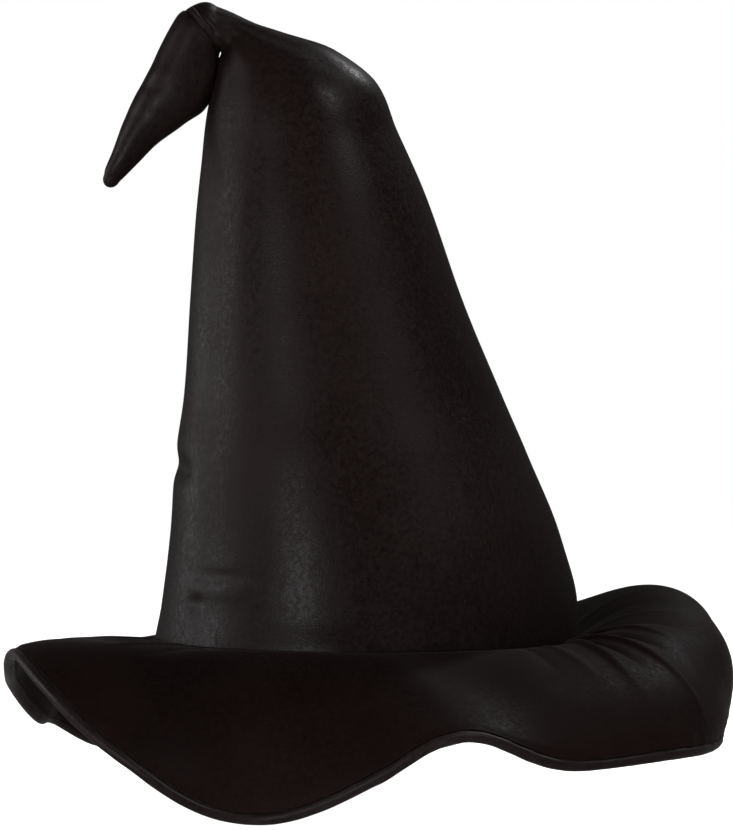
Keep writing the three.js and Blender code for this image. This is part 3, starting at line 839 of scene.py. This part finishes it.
def band_place(around, along):
    """The sweatband bows away from the lining and is bound along its upper edge."""
    angle = pi / 2 + around * 2 * pi
    loose = sin(pi * along)
    binding = exp(-(((along - 1.0) / 0.09) ** 2))
    depth = BAND_DEPTH + 0.3 * loose * (1 + 0.8 * sin(9 * angle)) + 0.25 * binding
    return wall_point(angle, BAND_FOOT + (BAND_TOP - BAND_FOOT) * along, depth) * MM


def tape_place(around, along):
    """The tape stands in the head opening, over the edges of the brim's layers."""
    angle = pi / 2 + around * 2 * pi
    radius = TAPE_RADIUS - 0.25 * sin(pi * along) - 0.12 * sin(23 * angle)
    return Vector((radius * cos(angle), radius * sin(angle), TAPE_FOOT + TAPE_HEIGHT * along)) * MM


def label_place(around, along):
    """The label lies on the sweatband at the back and bulges between its stitched ends."""
    across = (around - 0.5) * LABEL_WIDTH
    angle = pi / 2 - across / HEAD_RADIUS
    bulge = 0.7 * sin(pi * around) * (1 + 0.3 * sin(pi * along))
    return wall_point(angle, LABEL_FOOT + LABEL_HEIGHT * along, LABEL_DEPTH + bulge) * MM


sweatband_ribbon = lay_cloth(
    "sweatband_ribbon", 360, 20, band_place, (0.595, 0.0295), tape_cotton, thickness=0.9 * MM)
opening_tape_ribbon = lay_cloth(
    "opening_tape_ribbon", 300, 8, tape_place, (0.6, 0.01), tape_cotton, thickness=0.8 * MM)
blank_label_cloth = lay_cloth(
    "blank_label_cloth", 48, 24, label_place, (0.032, 0.014), label_satin, thickness=-0.35 * MM, closed=False)
for ribbon, node, slot in (
        (sweatband_ribbon, "sweatband", "tape_cotton"),
        (opening_tape_ribbon, "opening_tape", "tape_cotton"),
        (blank_label_cloth, "blank_label", "label_satin")):
    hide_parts(node)
    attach(ribbon, "hat")

# %% [markdown]
# ## Stitches
# Thread could be drawn as a bump, but it would not stand out at the edges. Each stitch here is a small
# spindle of thread that dips into the cloth at both ends. One line holds the sweatband at its foot, one the
# label's ends, and one runs under the brim beside the rolled rim.

# %% Stitches
thread = cloth_material(
    "black_thread", (0.008, 0.007, 0.007), (0.02, 0.018, 0.018),
    roughness=(0.35, 0.5), sheen=(0.0, 0.5), specular=0.4, pile_scale=4000.0, pile_height=0.2)
STITCH_SIDES = 6
STITCH_RINGS = 5
LABEL_MARGIN = 1.2  # from the label's end to its stitches


def stitch_line(name, spots, radius):
    """spots are (start, end, outward) in millimetres; every stitch is a closed spindle bowed outwards."""
    bm = bmesh.new()
    for start, end, outward in spots:
        along = (end - start).normalized()
        side = along.cross(outward).normalized()
        rings = []
        for ring in range(STITCH_RINGS):
            share = ring / (STITCH_RINGS - 1)
            swell = sin(pi * (0.1 + 0.8 * share))
            middle = start.lerp(end, share) + outward * radius * (1.3 * swell - 0.5)
            rings.append([
                bm.verts.new((
                    middle
                    + side * radius * swell * cos(2 * pi * k / STITCH_SIDES)
                    + outward * radius * swell * sin(2 * pi * k / STITCH_SIDES)
                ) * MM)
                for k in range(STITCH_SIDES)
            ])
        for low, high in zip(rings, rings[1:]):
            for k in range(STITCH_SIDES):
                after = (k + 1) % STITCH_SIDES
                bm.faces.new((low[k], low[after], high[after], high[k]))
        bm.faces.new(rings[0][::-1])
        bm.faces.new(rings[-1])
    bmesh.ops.recalc_face_normals(bm, faces=bm.faces)
    piece = finish_mesh(bm, name, thread)
    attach(piece, "hat")
    print(name, len(spots), "stitches")


def band_spots(count, height, depth, length):
    """Stitches round the sweatband at one height."""
    spots = []
    for n in range(count):
        middle = 2 * pi * (n + 0.5) / count
        half = length / 2 / (HEAD_RADIUS - depth)
        start, end = (wall_point(middle + turn, height, depth) for turn in (-half, half))
        inward = Vector((-cos(middle), -sin(middle), 0))
        spots.append((start, end, inward))
    return spots


def rim_spots(count, share, drop, length):
    """Stitches round the underside of the brim beside the roll."""
    spots = []
    for n in range(count):
        middle = 2 * pi * (n + 0.5) / count
        point, normal, _ = brim_frame(middle, share)
        half = length / 2 / hypot(point.x, point.y)
        start, end = (on_brim(middle + turn, share) - normal * drop for turn in (-half, half))
        spots.append((start, end, -normal))
    return spots


def label_spots(rows, length):
    """Upright stitches at both ends of the label."""
    spots = []
    depth = LABEL_DEPTH + 0.55
    for side in (-1, 1):
        angle = pi / 2 - side * (LABEL_WIDTH / 2 - LABEL_MARGIN) / HEAD_RADIUS
        for n in range(rows):
            foot = LABEL_FOOT + 0.6 + (LABEL_HEIGHT - 1.0) * n / rows
            start, end = wall_point(angle, foot, depth), wall_point(angle, foot + length, depth)
            spots.append((start, end, Vector((-cos(angle), -sin(angle), 0))))
    return spots


stitch_line(
    "sweatband_stitches", band_spots(count=130, height=2.6, depth=BAND_DEPTH + 0.95, length=3.0), radius=0.3)
stitch_line("label_stitches", label_spots(rows=6, length=1.5), radius=0.18)
stitch_line("rim_stitches", rim_spots(count=300, share=0.975, drop=3.95, length=2.8), radius=0.3)

# %% [markdown]
# ## Nodes that stay as packed
# Foam, fibre fill and the steel wire have the right shape already and lie hidden, so they only get materials.

# %% Carried-over nodes
fibre = cloth_material(
    "fibre_fill", (0.6, 0.59, 0.56), (0.8, 0.79, 0.77),
    roughness=(0.9, 1.0), sheen=(0.2, 0.6), specular=0.1, pile_scale=300.0)
foam = cloth_material(
    "thin_foam", (0.035, 0.035, 0.04), (0.06, 0.06, 0.065),
    roughness=(0.85, 0.95), sheen=(0.0, 0.5), specular=0.2, pile_scale=1500.0)
steel = cloth_material(
    "wire_steel", (0.4, 0.4, 0.42), (0.55, 0.55, 0.56),
    roughness=(0.25, 0.4), sheen=(0.0, 0.5), specular=0.5, pile_scale=3000.0, pile_height=0.05)
steel.node_tree.nodes["Principled BSDF"].inputs["Metallic"].default_value = 1.0

HIDDEN_NODES = {
    "crown_interfacing": foam,
    "brim_interfacing": foam,
    "crown_stuffing": fibre,
    "tip_stuffing": fibre,
    "brim_wire": steel,
    "brim_wire_joiner": steel,
}
for node, material in HIDDEN_NODES.items():
    materials = bpy.data.objects[node].data.materials
    materials.clear()
    materials.append(material)
print("hidden nodes", sorted(HIDDEN_NODES))

# %% [markdown]
# ## Cut sizes
# Every cloth's flat grid is given the size it was cut to, in metres, before it was sewn and stretched. The
# cone's velvet and lining are cut as sectors, the brim's as rings, and the rest as strips.

# %% [markdown]
# ## Size
# The visual model's box is printed beside the imported one, so that the two can be compared.

# %% Sizes
sizes = {"cad": cad_bounds, "visual": [list(corner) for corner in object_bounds()]}
print("sizes in mm", {k: [[round(c / MM, 1) for c in corner] for corner in v] for k, v in sizes.items()})
